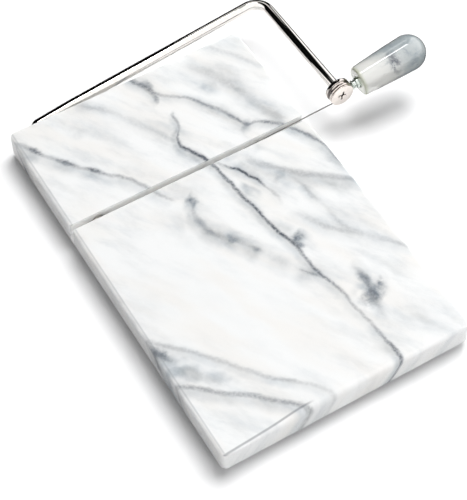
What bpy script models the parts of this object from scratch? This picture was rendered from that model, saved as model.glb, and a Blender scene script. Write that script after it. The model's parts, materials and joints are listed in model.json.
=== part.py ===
"""Cheese wire cutter: a marble board with a hinged wire arm.

Lengths are written in millimetres times MM, so every value is in metres.
While it is built, X runs across the board, Y along it towards the hinge end,
Z up, and the origin is under the middle of the board's underside.
place_on_base() then moves the whole cutter so that the origin is at the
bottom centre of its bounding box.
"""
import math

import bmesh
import bpy
from mathutils import Matrix, Vector

MM = 0.001
GAP = 0.3 * MM                      # air left between pieces that touch

# Marble board: an 8 x 5 x 1/2 inch slab.
BOARD_WIDTH = 127.0 * MM
BOARD_LENGTH = 203.2 * MM
BOARD_THICK = 12.7 * MM
BOARD_CORNER = 3.0 * MM             # radius of the corners seen from above
TOP_CHAMFER = 1.2 * MM
BOTTOM_CHAMFER = 1.0 * MM

# Groove that the wire cuts down into.
GROOVE_Y = 36.8 * MM
GROOVE_WIDTH = 2.9 * MM
GROOVE_FLOOR = 5.5 * MM             # height of the groove's floor
GROOVE_ARRIS = 0.3 * MM             # small bevel along the groove's two top edges

# Hinge: the arm's rod turns in a bore drilled from the board's back face.
PIVOT_X = -49.0 * MM
PIVOT_Z = 6.0 * MM
ROD_RADIUS = 2.6 * MM
PIVOT_FRONT = 31.4 * MM             # y of the rod's front end, past the groove
BORE_RADIUS = 3.8 * MM
BORE_END = PIVOT_FRONT - 0.5 * MM
BUSH_WALL_GAP = 0.2 * MM            # running clearance of the rod in its bushes
REAR_BUSH_LENGTH = 12.0 * MM

# Arm, in its own plane: S is the distance from the hinge axis.
ARM_TILT = math.radians(5.7)        # rise of the arm as it stands at rest
LEG_SPLAY = math.radians(1.4)       # the outer leg leans away from the board
HUB_SPLAY = math.radians(1.0)       # the front leg leans outward
ARM_REACH = 131.4 * MM
HINGE_BEND_Y = 104.8 * MM
HINGE_BEND_RADIUS = 3.2 * MM
CRANK_S = 21.0 * MM
CRANK_Y = 105.9 * MM
CRANK_RADIUS = 120.0 * MM
OUTER_BEND_RADIUS = 8.5 * MM

# Hub on the rod's front end. Places along its axis count from the groove plane.
HUB_RADIUS = 6.4 * MM
HUB_FRONT = -1.8 * MM
HUB_BACK = 2.8 * MM
HUB_EDGE = 0.5 * MM
ROD_SOCKET_FRONT = 0.8 * MM         # floor of the socket that takes the rod's end
WIRE_TRACK_DEPTH = 0.75 * MM
WIRE_TRACK_HALF = 0.8 * MM

# Screw that clamps the hub to the rod's end.
SCREW_FACE = -2.9 * MM
SCREW_FLANGE = 0.8 * MM
SCREW_HEAD_RADIUS = 6.3 * MM
SCREW_CONE_RADIUS = 3.5 * MM
SCREW_CONE_LENGTH = 1.7 * MM
SCREW_SHANK_RADIUS = 1.4 * MM
SCREW_END = 5.4 * MM
RECESS_REACH = 2.45 * MM
RECESS_HALF_WIDTH = 0.55 * MM
RECESS_DEPTH = 1.8 * MM

# Cutting wire and the barrel crimped on its hinge end.
WIRE_RADIUS = 0.3 * MM
WIRE_WRAP_RADIUS = HUB_RADIUS - 0.15 * MM
WIRE_TAIL = -2.2 * MM               # s of the wire's end inside the rod
BARREL_RADIUS = 1.0 * MM
BARREL_START = -2.4 * MM
BARREL_LENGTH = 1.3 * MM

# Handle, along its own axis: distances count from the hub's axis.
HANDLE_Y = 36.4 * MM
HANDLE_RISE = math.radians(2.6)     # angle between the handle and the arm's plane
STUD_TIP = 4.2 * MM
STUD_SHOULDER = 6.75 * MM
STUD_SHOULDER_LENGTH = 0.6 * MM
STUD_END = 23.0 * MM
STUD_THREAD_RADIUS = 1.5 * MM
STUD_NECK_RADIUS = 1.95 * MM
STUD_SHOULDER_RADIUS = 2.5 * MM
INSERT_START = 8.7 * MM
INSERT_LENGTH = 16.0 * MM
INSERT_RADIUS = 2.7 * MM
INSERT_BORE = 2.3 * MM
HANDLE_START = 10.2 * MM
HANDLE_END = 48.0 * MM
HANDLE_NEAR_RADIUS = 7.5 * MM
HANDLE_FAR_RADIUS = 9.05 * MM
HANDLE_DOME = 9.1 * MM              # length of the rounded far end
HANDLE_EDGE = 1.2 * MM
HANDLE_BORE_END = 26.0 * MM

# Four stick-on feet.
FOOT_RADIUS = 5.0 * MM
FOOT_HEIGHT = 2.4 * MM
FOOT_INSET = 13.0 * MM


def material(name, colour, roughness, metallic=0.0):
    """Make a plain Principled material."""
    made = bpy.data.materials.new(name)
    made.use_nodes = True
    shader = made.node_tree.nodes["Principled BSDF"]
    shader.inputs["Base Color"].default_value = (*colour, 1.0)
    shader.inputs["Roughness"].default_value = roughness
    shader.inputs["Metallic"].default_value = metallic
    return made


def empty(name, location, rotation=(0.0, 0.0, 0.0), parent=None):
    """Make an empty that carries a group of pieces."""
    holder = bpy.data.objects.new(name, None)
    holder.location = location
    holder.rotation_euler = rotation
    holder.parent = parent
    bpy.context.scene.collection.objects.link(holder)
    return holder


def add_object(name, shape, parent, finish=None):
    """Turn a bmesh into a named object with outward faces and smooth round sides."""
    bmesh.ops.recalc_face_normals(shape, faces=shape.faces)
    mesh = bpy.data.meshes.new(name)
    shape.to_mesh(mesh)
    shape.free()
    mesh.shade_smooth()
    mesh.set_sharp_from_angle(angle=math.radians(32.0))
    made = bpy.data.objects.new(name, mesh)
    made.parent = parent
    if finish is not None:
        mesh.materials.append(finish)
    bpy.context.scene.collection.objects.link(made)
    return made


def cut(target, cutter):
    """Subtract a cutter from a piece and keep the cutter out of the build."""
    cutter.hide_render = True
    cutter.display_type = "WIRE"
    step = target.modifiers.new(cutter.name, "BOOLEAN")
    step.operation = "DIFFERENCE"
    step.object = cutter


def stack_of_rings(rings, closed=False):
    """Skin a list of vertex rings; a ring of one point closes the skin to a tip."""
    shape = bmesh.new()
    loops = [[shape.verts.new(point) for point in ring] for ring in rings]
    pairs = list(zip(loops, loops[1:]))
    if closed:
        pairs.append((loops[-1], loops[0]))
    for first, second in pairs:
        sides = max(len(first), len(second))
        for side in range(sides):
            after = (side + 1) % sides
            corners = [first[side % len(first)], first[after % len(first)],
                       second[after % len(second)], second[side % len(second)]]
            shape.faces.new(list(dict.fromkeys(corners)))
    if not closed:
        for end in (loops[0], loops[-1]):
            if len(end) > 2:
                shape.faces.new(end)
    return shape


def turned_rings(profile, sides):
    """Spin (place along X, radius) pairs about the X axis."""
    rings = []
    for along, radius in profile:
        if radius == 0.0:
            rings.append([(along, 0.0, 0.0)])
            continue
        turns = [2.0 * math.pi * side / sides for side in range(sides)]
        rings.append([(along, radius * math.cos(a), radius * math.sin(a)) for a in turns])
    return rings


def turned(name, profile, parent, finish=None, sides=36, closed=False):
    """Make a lathe-turned piece about its local X axis."""
    shape = stack_of_rings(turned_rings(profile, sides), closed)
    return add_object(name, shape, parent, finish)


def arc(centre, radius, start, end, steps):
    """Points on an arc in a plane, angles in degrees."""
    points = []
    for step in range(steps + 1):
        angle = math.radians(start + (end - start) * step / steps)
        points.append((centre[0] + radius * math.cos(angle), centre[1] + radius * math.sin(angle)))
    return points


def rounded_route(corners, radii, degrees_per_step=8.0):
    """Replace each inner corner of a flat route with an arc of the given radius."""
    points = [Vector(corners[0])]
    for before, corner, after, radius in zip(corners, corners[1:], corners[2:], radii):
        corner = Vector(corner)
        back = (Vector(before) - corner).normalized()
        onward = (Vector(after) - corner).normalized()
        half = back.angle(onward) / 2.0
        turn = math.pi - 2.0 * half
        centre = corner + (back + onward).normalized() * radius / math.sin(half)
        spoke = corner + back * radius / math.tan(half) - centre
        side = math.copysign(1.0, -back.x * onward.y + back.y * onward.x)
        steps = max(3, round(math.degrees(turn) / degrees_per_step))
        for step in range(steps + 1):
            spin = Matrix.Rotation(side * turn * step / steps, 2)
            points.append(centre + spin @ spoke)
    points.append(Vector(corners[-1]))
    return points


def swept(name, route, radius, parent, finish, sides=20):
    """Sweep a round section along a flat route of 3-D points."""
    plane = (route[1] - route[0]).cross(route[-1] - route[1]).normalized()
    rings = []
    for index, point in enumerate(route):
        ahead = route[min(index + 1, len(route) - 1)]
        behind = route[max(index - 1, 0)]
        across = plane.cross((ahead - behind).normalized())
        turns = [2.0 * math.pi * side / sides for side in range(sides)]
        rings.append([point + radius * (math.cos(a) * across + math.sin(a) * plane) for a in turns])
    return add_object(name, stack_of_rings(rings), parent, finish)


def plan_ring(half_width, half_length, corner, height, steps=5):
    """A rounded rectangle at one height."""
    ring = []
    centres = [(1, 1), (-1, 1), (-1, -1), (1, -1)]
    for quarter, (side_x, side_y) in enumerate(centres):
        centre = (side_x * (half_width - corner), side_y * (half_length - corner))
        for x, y in arc(centre, corner, 90.0 * quarter, 90.0 * quarter + 90.0, steps):
            ring.append((x, y, height))
    return ring


def make_board(parent, finish):
    """The slab, with its chamfers, the wire's groove and the hinge bore."""
    levels = [(0.0, BOTTOM_CHAMFER), (BOTTOM_CHAMFER, 0.0),
              (BOARD_THICK - TOP_CHAMFER, 0.0), (BOARD_THICK, TOP_CHAMFER)]
    rings = [plan_ring(BOARD_WIDTH / 2 - inset, BOARD_LENGTH / 2 - inset,
                       BOARD_CORNER - inset, height) for height, inset in levels]
    board = add_object("marble_board", stack_of_rings(rings), parent, finish)
    cut(board, make_groove_cutter(parent))
    cut(board, make_bore_cutter(parent))
    return board


def make_groove_cutter(parent):
    """A long bar with the groove's section, flared at the board's top."""
    half = GROOVE_WIDTH / 2
    flare = GROOVE_ARRIS + MM
    section = [(-half, GROOVE_FLOOR), (half, GROOVE_FLOOR),
               (half, BOARD_THICK - GROOVE_ARRIS), (half + flare, BOARD_THICK + MM),
               (-half - flare, BOARD_THICK + MM), (-half, BOARD_THICK - GROOVE_ARRIS)]
    reach = BOARD_WIDTH / 2 + 5.0 * MM
    rings = [[(x, GROOVE_Y + y, z) for y, z in section] for x in (-reach, reach)]
    return add_object("groove_cutter", stack_of_rings(rings), parent)


def make_bore_cutter(parent):
    """The blind round bore along the hinge axis."""
    length = BOARD_LENGTH / 2 + 5.0 * MM - BORE_END
    holder = empty("bore_axis", (PIVOT_X, BORE_END, PIVOT_Z), (0.0, 0.0, math.pi / 2), parent)
    return turned("bore_cutter", [(0.0, BORE_RADIUS), (length, BORE_RADIUS)], holder, sides=32)


def make_bush(name, start, length, parent, finish):
    """A plain sleeve between the rod and the stone."""
    inner = ROD_RADIUS + BUSH_WALL_GAP
    outer = BORE_RADIUS - GAP
    holder = empty(name + "_axis", (PIVOT_X, start, PIVOT_Z), (0.0, 0.0, math.pi / 2), parent)
    profile = [(0.0, inner), (0.0, outer), (length, outer), (length, inner)]
    return turned(name, profile, holder, finish, sides=32, closed=True)


def make_feet(parent, finish):
    """Four domed feet, inset from the board's corners."""
    flat = FOOT_RADIUS - 1.4 * MM
    profile = [(GAP, 0.0), (GAP, FOOT_RADIUS), (GAP + 0.6 * MM, FOOT_RADIUS)]
    profile += [(GAP + FOOT_HEIGHT - 0.5 * MM, flat + 0.5 * MM), (GAP + FOOT_HEIGHT, flat),
                (GAP + FOOT_HEIGHT, 0.0)]
    for end, y_sign in (("front", -1), ("rear", 1)):
        for side, x_sign in (("left", -1), ("right", 1)):
            place = (x_sign * (BOARD_WIDTH / 2 - FOOT_INSET),
                     y_sign * (BOARD_LENGTH / 2 - FOOT_INSET), 0.0)
            name = "foot_%s_%s" % (end, side)
            holder = empty(name + "_axis", place, (0.0, math.pi / 2, 0.0), parent)
            turned(name, profile, holder, finish, sides=28)


def arm_corners():
    """Corners of the arm's route in its own plane, from hinge to hub."""
    outer = (ARM_REACH, CRANK_Y + (ARM_REACH - CRANK_S) * math.tan(LEG_SPLAY))
    end_y = GROOVE_Y + ROD_SOCKET_FRONT + GAP
    end = (outer[0] + (outer[1] - end_y) * math.tan(HUB_SPLAY), end_y)
    return [(0.0, PIVOT_FRONT), (0.0, HINGE_BEND_Y), (CRANK_S, CRANK_Y), outer, end]


def hub_centre():
    """Where the rod's axis meets the groove plane, in the arm's plane."""
    end = arm_corners()[-1]
    return end[0] + (end[1] - GROOVE_Y) * math.tan(HUB_SPLAY)


def make_rod(pivot, hub_axis, finish):
    """The bent rod: hinge leg, outer leg and front leg in one piece."""
    radii = [HINGE_BEND_RADIUS, CRANK_RADIUS, OUTER_BEND_RADIUS]
    route = [Vector((s, y, 0.0)) for s, y in rounded_route(arm_corners(), radii)]
    rod = swept("arm_rod", route, ROD_RADIUS, pivot, finish, sides=24)
    wire_line = empty("wire_hole_axis", (0.0, GROOVE_Y, 0.0), (0.0, wire_dip(), 0.0), pivot)
    seat = BARREL_START + BARREL_LENGTH + GAP
    reach = ROD_RADIUS + MM
    narrow = WIRE_RADIUS + 0.2 * MM
    wide = BARREL_RADIUS + GAP
    hole = [(-reach, wide), (seat, wide), (seat, narrow), (reach, narrow)]
    cut(rod, turned("wire_hole_cutter", hole, wire_line, sides=16))
    thread = SCREW_SHANK_RADIUS + GAP
    tapped = [(ROD_SOCKET_FRONT, thread), (SCREW_END + 0.5 * MM, thread)]
    cut(rod, turned("rod_thread_cutter", tapped, hub_axis, sides=16))
    return rod


def wire_dip():
    """Angle by which the wire runs below the line from the hinge to the hub."""
    return math.asin(WIRE_WRAP_RADIUS / hub_centre())


def make_wire(pivot, finish):
    """The cutting wire: out of the rod, tangent to the hub and round its track."""
    dip = wire_dip()
    along = Vector((math.cos(dip), 0.0, -math.sin(dip)))
    hinge = Vector((0.0, GROOVE_Y, 0.0))
    hub = Vector((hub_centre(), GROOVE_Y, 0.0))
    wrap_start = -math.pi / 2 - dip
    wrap_end = HANDLE_RISE - math.asin(STUD_SHOULDER_RADIUS / WIRE_WRAP_RADIUS)
    route = [hinge + along * WIRE_TAIL, hinge + along * (hub_centre() / 2)]
    steps = 10
    for step in range(steps + 1):
        angle = wrap_start + (wrap_end - wrap_start) * step / steps
        route.append(hub + WIRE_WRAP_RADIUS * Vector((math.cos(angle), 0.0, math.sin(angle))))
    return swept("cutting_wire", route, WIRE_RADIUS, pivot, finish, sides=10)


def make_wire_barrel(pivot, finish):
    """The barrel crimped on the wire, sunk in the rod's cross hole."""
    holder = empty("barrel_axis", (0.0, GROOVE_Y, 0.0), (0.0, wire_dip(), 0.0), pivot)
    end = BARREL_START + BARREL_LENGTH
    inner = WIRE_RADIUS + 0.15 * MM
    profile = [(BARREL_START, inner), (BARREL_START, BARREL_RADIUS),
               (end, BARREL_RADIUS), (end, inner)]
    return turned("wire_barrel", profile, holder, finish, sides=20, closed=True)


def make_hub(hub_axis, handle_axis, finish):
    """The turned cap on the rod's end, with the wire's track round its rim."""
    shank = SCREW_SHANK_RADIUS + GAP
    socket = ROD_RADIUS + GAP
    cone = SCREW_CONE_RADIUS + GAP
    cone_end = SCREW_FACE + SCREW_FLANGE + SCREW_CONE_LENGTH + GAP
    track = HUB_RADIUS - WIRE_TRACK_DEPTH
    profile = [(HUB_FRONT, cone), (HUB_FRONT, HUB_RADIUS - HUB_EDGE),
               (HUB_FRONT + HUB_EDGE, HUB_RADIUS), (-WIRE_TRACK_HALF, HUB_RADIUS),
               (-0.25 * MM, track), (0.25 * MM, track), (WIRE_TRACK_HALF, HUB_RADIUS)]
    profile += [(HUB_BACK - HUB_EDGE, HUB_RADIUS), (HUB_BACK, HUB_RADIUS - HUB_EDGE),
                (HUB_BACK, socket), (ROD_SOCKET_FRONT, socket),
                (ROD_SOCKET_FRONT, shank), (cone_end, shank)]
    hub = turned("hub", profile, hub_axis, finish, sides=48, closed=True)
    hole = [(STUD_TIP - 0.4 * MM, STUD_THREAD_RADIUS + 0.15 * MM),
            (HUB_RADIUS + MM, STUD_THREAD_RADIUS + 0.15 * MM)]
    cut(hub, turned("stud_hole_cutter", hole, handle_axis, sides=20))
    return hub


def make_hub_screw(hub_axis, finish):
    """The wide-headed clamp screw with its cross recess."""
    rim = SCREW_FACE + SCREW_FLANGE
    edge = 0.35 * MM
    profile = [(SCREW_FACE, 0.0), (SCREW_FACE, SCREW_HEAD_RADIUS - edge)]
    profile += arc((SCREW_FACE + edge, SCREW_HEAD_RADIUS - edge), edge, 180.0, 90.0, 3)[1:]
    profile += [(rim, SCREW_HEAD_RADIUS), (rim, SCREW_CONE_RADIUS),
                (rim + SCREW_CONE_LENGTH, SCREW_SHANK_RADIUS),
                (SCREW_END, SCREW_SHANK_RADIUS), (SCREW_END, 0.0)]
    screw = turned("hub_screw", profile, hub_axis, finish, sides=48)
    cut(screw, make_recess_cutter(hub_axis))
    return screw


def make_recess_cutter(hub_axis):
    """A tapered cross, wide at the screw's face and narrow at its bottom."""
    levels = [(SCREW_FACE - 0.5 * MM, 1.1), (SCREW_FACE + RECESS_DEPTH, 0.4)]
    rings = []
    for along, scale in levels:
        long = RECESS_REACH * scale
        wide = RECESS_HALF_WIDTH * (0.5 + 0.5 * scale)
        quarter = [(long, -wide), (long, wide), (wide, wide)]
        ring = []
        for turn in range(4):
            spin = Matrix.Rotation(math.radians(90.0 * turn + 20.0), 2)
            ring += [(along, *(spin @ Vector(corner))) for corner in quarter]
        rings.append(ring)
    return add_object("recess_cutter", stack_of_rings(rings), hub_axis)


def make_stud(handle_axis, finish):
    """The double-ended stud between the hub and the handle."""
    shoulder_end = STUD_SHOULDER + STUD_SHOULDER_LENGTH
    neck_end = INSERT_START + 1.5 * MM
    profile = [(STUD_TIP, 0.0), (STUD_TIP, STUD_THREAD_RADIUS),
               (STUD_SHOULDER, STUD_THREAD_RADIUS), (STUD_SHOULDER, STUD_SHOULDER_RADIUS),
               (shoulder_end, STUD_SHOULDER_RADIUS), (shoulder_end, STUD_NECK_RADIUS),
               (neck_end, STUD_NECK_RADIUS), (neck_end, STUD_THREAD_RADIUS),
               (STUD_END, STUD_THREAD_RADIUS), (STUD_END, 0.0)]
    return turned("handle_stud", profile, handle_axis, finish, sides=28)


def make_insert(handle_axis, finish):
    """The threaded sleeve glued into the handle; its front end stands proud."""
    end = INSERT_START + INSERT_LENGTH
    mouth = INSERT_START + 1.5 * MM + GAP
    thread = STUD_THREAD_RADIUS + 0.2 * MM
    chamfer = 0.3 * MM
    profile = [(mouth, thread), (mouth, INSERT_BORE), (INSERT_START, INSERT_BORE),
               (INSERT_START, INSERT_RADIUS - chamfer), (INSERT_START + chamfer, INSERT_RADIUS),
               (end, INSERT_RADIUS), (end, thread)]
    return turned("handle_insert", profile, handle_axis, finish, sides=28, closed=True)


def make_handle(handle_axis, finish):
    """The tapered marble grip with a domed end and a blind bore."""
    bore = INSERT_RADIUS + GAP
    dome_start = HANDLE_END - HANDLE_DOME
    profile = [(HANDLE_BORE_END, 0.0), (HANDLE_BORE_END, bore), (HANDLE_START, bore)]
    edge_centre = (HANDLE_START + HANDLE_EDGE, HANDLE_NEAR_RADIUS - HANDLE_EDGE)
    profile += arc(edge_centre, HANDLE_EDGE, 180.0, 90.0, 4)
    for x, r in arc((0.0, 0.0), 1.0, 90.0, 0.0, 10)[:-1]:
        profile.append((dome_start + HANDLE_DOME * x, HANDLE_FAR_RADIUS * r))
    profile.append((HANDLE_END, 0.0))
    return turned("handle", profile, handle_axis, finish, sides=40)


def place_on_base(roots):
    """Shift the roots so the origin is at the bottom centre of the bounding box."""
    bpy.context.view_layer.update()
    corners = []
    depsgraph = bpy.context.evaluated_depsgraph_get()
    for piece in bpy.data.objects:
        if piece.type == "MESH" and not piece.hide_render:
            shown = piece.evaluated_get(depsgraph)
            corners += [shown.matrix_world @ vertex.co for vertex in shown.data.vertices]
    lowest = Vector(min(corner[axis] for corner in corners) for axis in range(3))
    highest = Vector(max(corner[axis] for corner in corners) for axis in range(3))
    base = Vector(((lowest.x + highest.x) / 2, (lowest.y + highest.y) / 2, lowest.z))
    for root in roots:
        root.location -= base


def main():
    for old in list(bpy.data.objects):
        bpy.data.objects.remove(old)
    marble = material("marble", (0.86, 0.87, 0.87), 0.25)
    chrome = material("chrome", (0.86, 0.85, 0.83), 0.06, 1.0)
    steel = material("wire_steel", (0.62, 0.61, 0.60), 0.25, 1.0)
    zinc = material("zinc", (0.72, 0.74, 0.70), 0.28, 1.0)
    nylon = material("nylon", (0.82, 0.80, 0.74), 0.5)
    rubber = material("rubber", (0.80, 0.80, 0.78), 0.6)

    board_frame = empty("board_frame", (0.0, 0.0, 0.0))
    make_board(board_frame, marble)
    back = BOARD_LENGTH / 2
    make_bush("rear_bush", back - REAR_BUSH_LENGTH, REAR_BUSH_LENGTH, board_frame, nylon)
    nose_end = GROOVE_Y - GROOVE_WIDTH / 2
    make_bush("front_bush", BORE_END + GAP, nose_end - BORE_END - GAP, board_frame, nylon)
    make_feet(board_frame, rubber)

    arm_pivot = empty("arm_pivot", (PIVOT_X, 0.0, PIVOT_Z), (0.0, -ARM_TILT, 0.0))
    hub_axis = empty("hub_axis", (hub_centre(), GROOVE_Y, 0.0),
                     (0.0, 0.0, math.pi / 2 + HUB_SPLAY), arm_pivot)
    handle_axis = empty("handle_axis", (hub_centre(), HANDLE_Y, 0.0),
                        (0.0, -HANDLE_RISE, 0.0), arm_pivot)
    make_rod(arm_pivot, hub_axis, chrome)
    make_wire(arm_pivot, steel)
    make_wire_barrel(arm_pivot, zinc)
    make_hub(hub_axis, handle_axis, chrome)
    make_hub_screw(hub_axis, chrome)
    make_stud(handle_axis, zinc)
    make_insert(handle_axis, zinc)
    make_handle(handle_axis, marble)
    place_on_base([board_frame, arm_pivot])


main()
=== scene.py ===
"""Looks for the cheese wire cutter: fine pieces, materials, studio and camera.

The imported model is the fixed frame. Every CAD node is replaced by a finer piece
that stands in the same place and rides on the same body. Lengths are written in
millimetres times MM. Pieces are built in the same local frames as the CAD model:
the board frame has its origin under the middle of the board's underside, and the
arm frame has its origin on the hinge axis, with X along the arm.
"""

import json
import math
from collections import namedtuple

import bmesh
import bpy
from mathutils import Matrix, Vector, noise


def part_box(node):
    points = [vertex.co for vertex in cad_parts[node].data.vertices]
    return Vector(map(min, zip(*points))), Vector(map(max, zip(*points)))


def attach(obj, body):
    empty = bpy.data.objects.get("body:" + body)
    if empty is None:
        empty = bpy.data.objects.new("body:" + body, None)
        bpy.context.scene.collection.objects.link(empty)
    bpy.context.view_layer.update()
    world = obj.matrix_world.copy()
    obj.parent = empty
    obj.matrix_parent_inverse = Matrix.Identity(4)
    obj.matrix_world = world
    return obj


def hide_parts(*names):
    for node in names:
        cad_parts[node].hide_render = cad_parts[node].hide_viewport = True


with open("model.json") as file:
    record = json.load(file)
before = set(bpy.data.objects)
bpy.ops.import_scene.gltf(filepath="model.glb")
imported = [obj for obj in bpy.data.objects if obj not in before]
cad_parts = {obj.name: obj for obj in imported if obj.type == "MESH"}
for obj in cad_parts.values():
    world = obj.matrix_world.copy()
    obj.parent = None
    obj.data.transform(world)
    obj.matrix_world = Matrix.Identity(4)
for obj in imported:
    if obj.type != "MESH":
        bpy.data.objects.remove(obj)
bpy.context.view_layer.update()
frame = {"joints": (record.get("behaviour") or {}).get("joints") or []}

MM = 0.001
GAP = 0.3 * MM                      # clearance between fitted pieces
SHARP_ANGLE = math.radians(35.0)    # edges that turn more than this stay crisp

# ---- places from the frame
BOARD_LOW, BOARD_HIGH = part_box("marble_board")
BOARD_SIZE = BOARD_HIGH - BOARD_LOW
BOARD_ORIGIN = Vector(((BOARD_LOW.x + BOARD_HIGH.x) / 2, (BOARD_LOW.y + BOARD_HIGH.y) / 2, BOARD_LOW.z))
BOARD = Matrix.Translation(BOARD_ORIGIN)
HINGE = Vector(frame["joints"][0]["pos_m"])
HALF_WIDTH = BOARD_SIZE.x / 2
HALF_LENGTH = BOARD_SIZE.y / 2
THICK = BOARD_SIZE.z
GROOVE_Y = HINGE.y - BOARD_ORIGIN.y
PIVOT_X = HINGE.x - BOARD_ORIGIN.x
PIVOT_Z = HINGE.z - BOARD_ORIGIN.z

# ---- board
PLAN_CORNER = 3.0 * MM
BOTTOM_ROUND = 1.0 * MM
GROOVE_WIDTH = 2.9 * MM
GROOVE_FLOOR = 5.5 * MM
GROOVE_LIP = 0.45 * MM
GROOVE_MOUTH = 1.5 * MM
GROOVE_COVE = 0.6 * MM
BORE_RADIUS = 3.8 * MM
BORE_FLARE = 0.35 * MM
BACK_ROUNDING = 1.1 * MM
SIDE_ROUNDING = 1.25 * MM
# The top front edge was ground by hand: (x, radius) along it.
FRONT_ROUNDING = [(-60.0 * MM, 0.7 * MM), (-40.0 * MM, 1.9 * MM), (-18.0 * MM, 3.6 * MM),
                  (24.0 * MM, 3.2 * MM), (34.0 * MM, 1.9 * MM), (60.0 * MM, 1.5 * MM)]
SECTION_PITCH = 7.0 * MM            # spacing of points along the slab's flats
SECTIONS = 20                       # sections across the slab between its rounded ends
SLEEVE_PLAY = 0.2 * MM
SLEEVE_EDGE = 0.35 * MM
FOOT_TOP_EDGE = 0.35 * MM
FOOT_SWELL = 1.1 * MM
FOOT_SOLE_INSET = 1.4 * MM
FOOT_HOLLOW = 0.25 * MM
FOOT_SIDES = 48

# ---- arm, as in the CAD model
ARM_TILT = math.radians(5.7)
LEG_SPLAY = math.radians(1.4)
HUB_SPLAY = math.radians(1.0)
ARM_REACH = 131.4 * MM
PIVOT_FRONT = 31.4 * MM
ROD_RADIUS = 2.6 * MM
HINGE_BEND_Y = 104.8 * MM
CRANK_S = 21.0 * MM
CRANK_Y = 105.9 * MM
BEND_RADII = (3.2 * MM, 120.0 * MM, 8.5 * MM)
ARM = Matrix.Translation((HINGE.x, BOARD_ORIGIN.y, HINGE.z)) @ Matrix.Rotation(-ARM_TILT, 4, "Y")

# ---- hub, screw, wire
HUB_RADIUS = 6.4 * MM
HUB_FRONT = -1.8 * MM
HUB_BACK = 2.8 * MM
ROD_SOCKET_FRONT = 0.8 * MM
TRACK_RADIUS = 0.7 * MM
SCREW_FACE = -2.9 * MM
SCREW_FLANGE = 0.8 * MM
SCREW_HEAD_RADIUS = 6.3 * MM
SCREW_CONE_RADIUS = 3.5 * MM
SCREW_CONE_LENGTH = 1.7 * MM
SCREW_SHANK_RADIUS = 1.4 * MM
SCREW_END = 5.4 * MM
RECESS_TURN = math.radians(20.0)
WIRE_RADIUS = 0.3 * MM
WIRE_WRAP_RADIUS = HUB_RADIUS - 0.15 * MM
WIRE_TAIL = -2.2 * MM
BARREL_RADIUS = 1.0 * MM
BARREL_START = -2.4 * MM
BARREL_LENGTH = 1.3 * MM

# ---- handle
HANDLE_Y = 36.4 * MM
HANDLE_RISE = math.radians(2.6)
STUD_TIP = 4.2 * MM
STUD_SHOULDER = 6.75 * MM
STUD_SHOULDER_LENGTH = 0.6 * MM
STUD_SHOULDER_RADIUS = 2.5 * MM
STUD_THREAD_RADIUS = 1.5 * MM
THREAD_PITCH = 0.7 * MM
THREAD_DEPTH = 0.22 * MM
STUD_NECK_RADIUS = 1.95 * MM
STUD_END = 23.0 * MM
INSERT_START = 8.7 * MM
INSERT_END = 24.7 * MM
INSERT_RADIUS = 2.7 * MM
INSERT_BORE = 2.3 * MM
HANDLE_START = 10.2 * MM
HANDLE_END = 48.0 * MM
HANDLE_NEAR_RADIUS = 7.5 * MM
HANDLE_FAR_RADIUS = 9.05 * MM
HANDLE_DOME = 9.1 * MM
HANDLE_EDGE = 1.2 * MM
HANDLE_SWELL = 0.12 * MM
HANDLE_BORE_END = 26.0 * MM

# ---- camera and light
CAMERA_AZIMUTH = math.radians(-29.11)
CAMERA_ELEVATION = math.radians(54.97)
CAMERA_ROLL = math.radians(-1.803)
CAMERA_TARGET = Vector((-37.649, -14.548, 10.7)) * MM
CAMERA_DISTANCE = 762.34 * MM
CAMERA_LENS = 119.88                # millimetres, on a 36 mm sensor
SENSOR = 36.0
WORLD_STRENGTH = 0.20
WHITE_CARD_GLOW = 1.2
STRIP_GLOW = 9.0
CARD_LIFT = 0.5 * MM                # height of the flat cards above the floor
# Each lamp: name, azimuth, elevation, distance (m), diameter (m), power (W).
LAMPS = [("key_lamp", 52.0, 68.0, 2.0, 1.25, 35.6),
         ("side_lamp", 84.0, 46.0, 2.0, 1.9, 20.0),
         ("fill_lamp", 190.0, 28.0, 1.2, 1.0, 4.9)]


# ==== mesh helpers
def arc(centre, radius, start, end, steps):
    """Points on an arc in a plane, angles in degrees, both ends included."""
    points = []
    for step in range(steps + 1):
        angle = math.radians(start + (end - start) * step / steps)
        points.append((centre[0] + radius * math.cos(angle), centre[1] + radius * math.sin(angle)))
    return points


def skin(rings, closed=False):
    """A bmesh skinned over rings of points; a ring of one point closes it to a tip."""
    shape = bmesh.new()
    loops = [[shape.verts.new(point) for point in ring] for ring in rings]
    pairs = list(zip(loops, loops[1:]))
    if closed:
        pairs.append((loops[-1], loops[0]))
    for first, second in pairs:
        sides = max(len(first), len(second))
        for side in range(sides):
            after = (side + 1) % sides
            corners = [first[side % len(first)], first[after % len(first)],
                       second[after % len(second)], second[side % len(second)]]
            shape.faces.new(list(dict.fromkeys(corners)))
    if not closed:
        for end in (loops[0], loops[-1]):
            if len(end) > 2:
                shape.faces.new(end)
    return shape


def circle(sides):
    """(cosine, sine) of evenly spaced turns."""
    turns = [2.0 * math.pi * side / sides for side in range(sides)]
    return [(math.cos(a), math.sin(a)) for a in turns]


def spin(profile, sides):
    """Rings of a turned shape about X, from (place along X, radius) pairs."""
    rings = []
    for along, radius in profile:
        ring = [(along, radius * c, radius * s) for c, s in circle(sides)]
        rings.append(ring if radius > 0.0 else [(along, 0.0, 0.0)])
    return rings


def piece(name, shape, place, finish=None):
    """Turn a bmesh into a named, smooth-shaded object whose mesh stands at a place."""
    bmesh.ops.recalc_face_normals(shape, faces=shape.faces)
    mesh = bpy.data.meshes.new(name)
    shape.to_mesh(mesh)
    shape.free()
    mesh.shade_smooth()
    mesh.set_sharp_from_angle(angle=SHARP_ANGLE)
    mesh.transform(place)
    made = bpy.data.objects.new(name, mesh)
    bpy.context.scene.collection.objects.link(made)
    if finish is not None:
        mesh.materials.append(finish)
    return made


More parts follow.
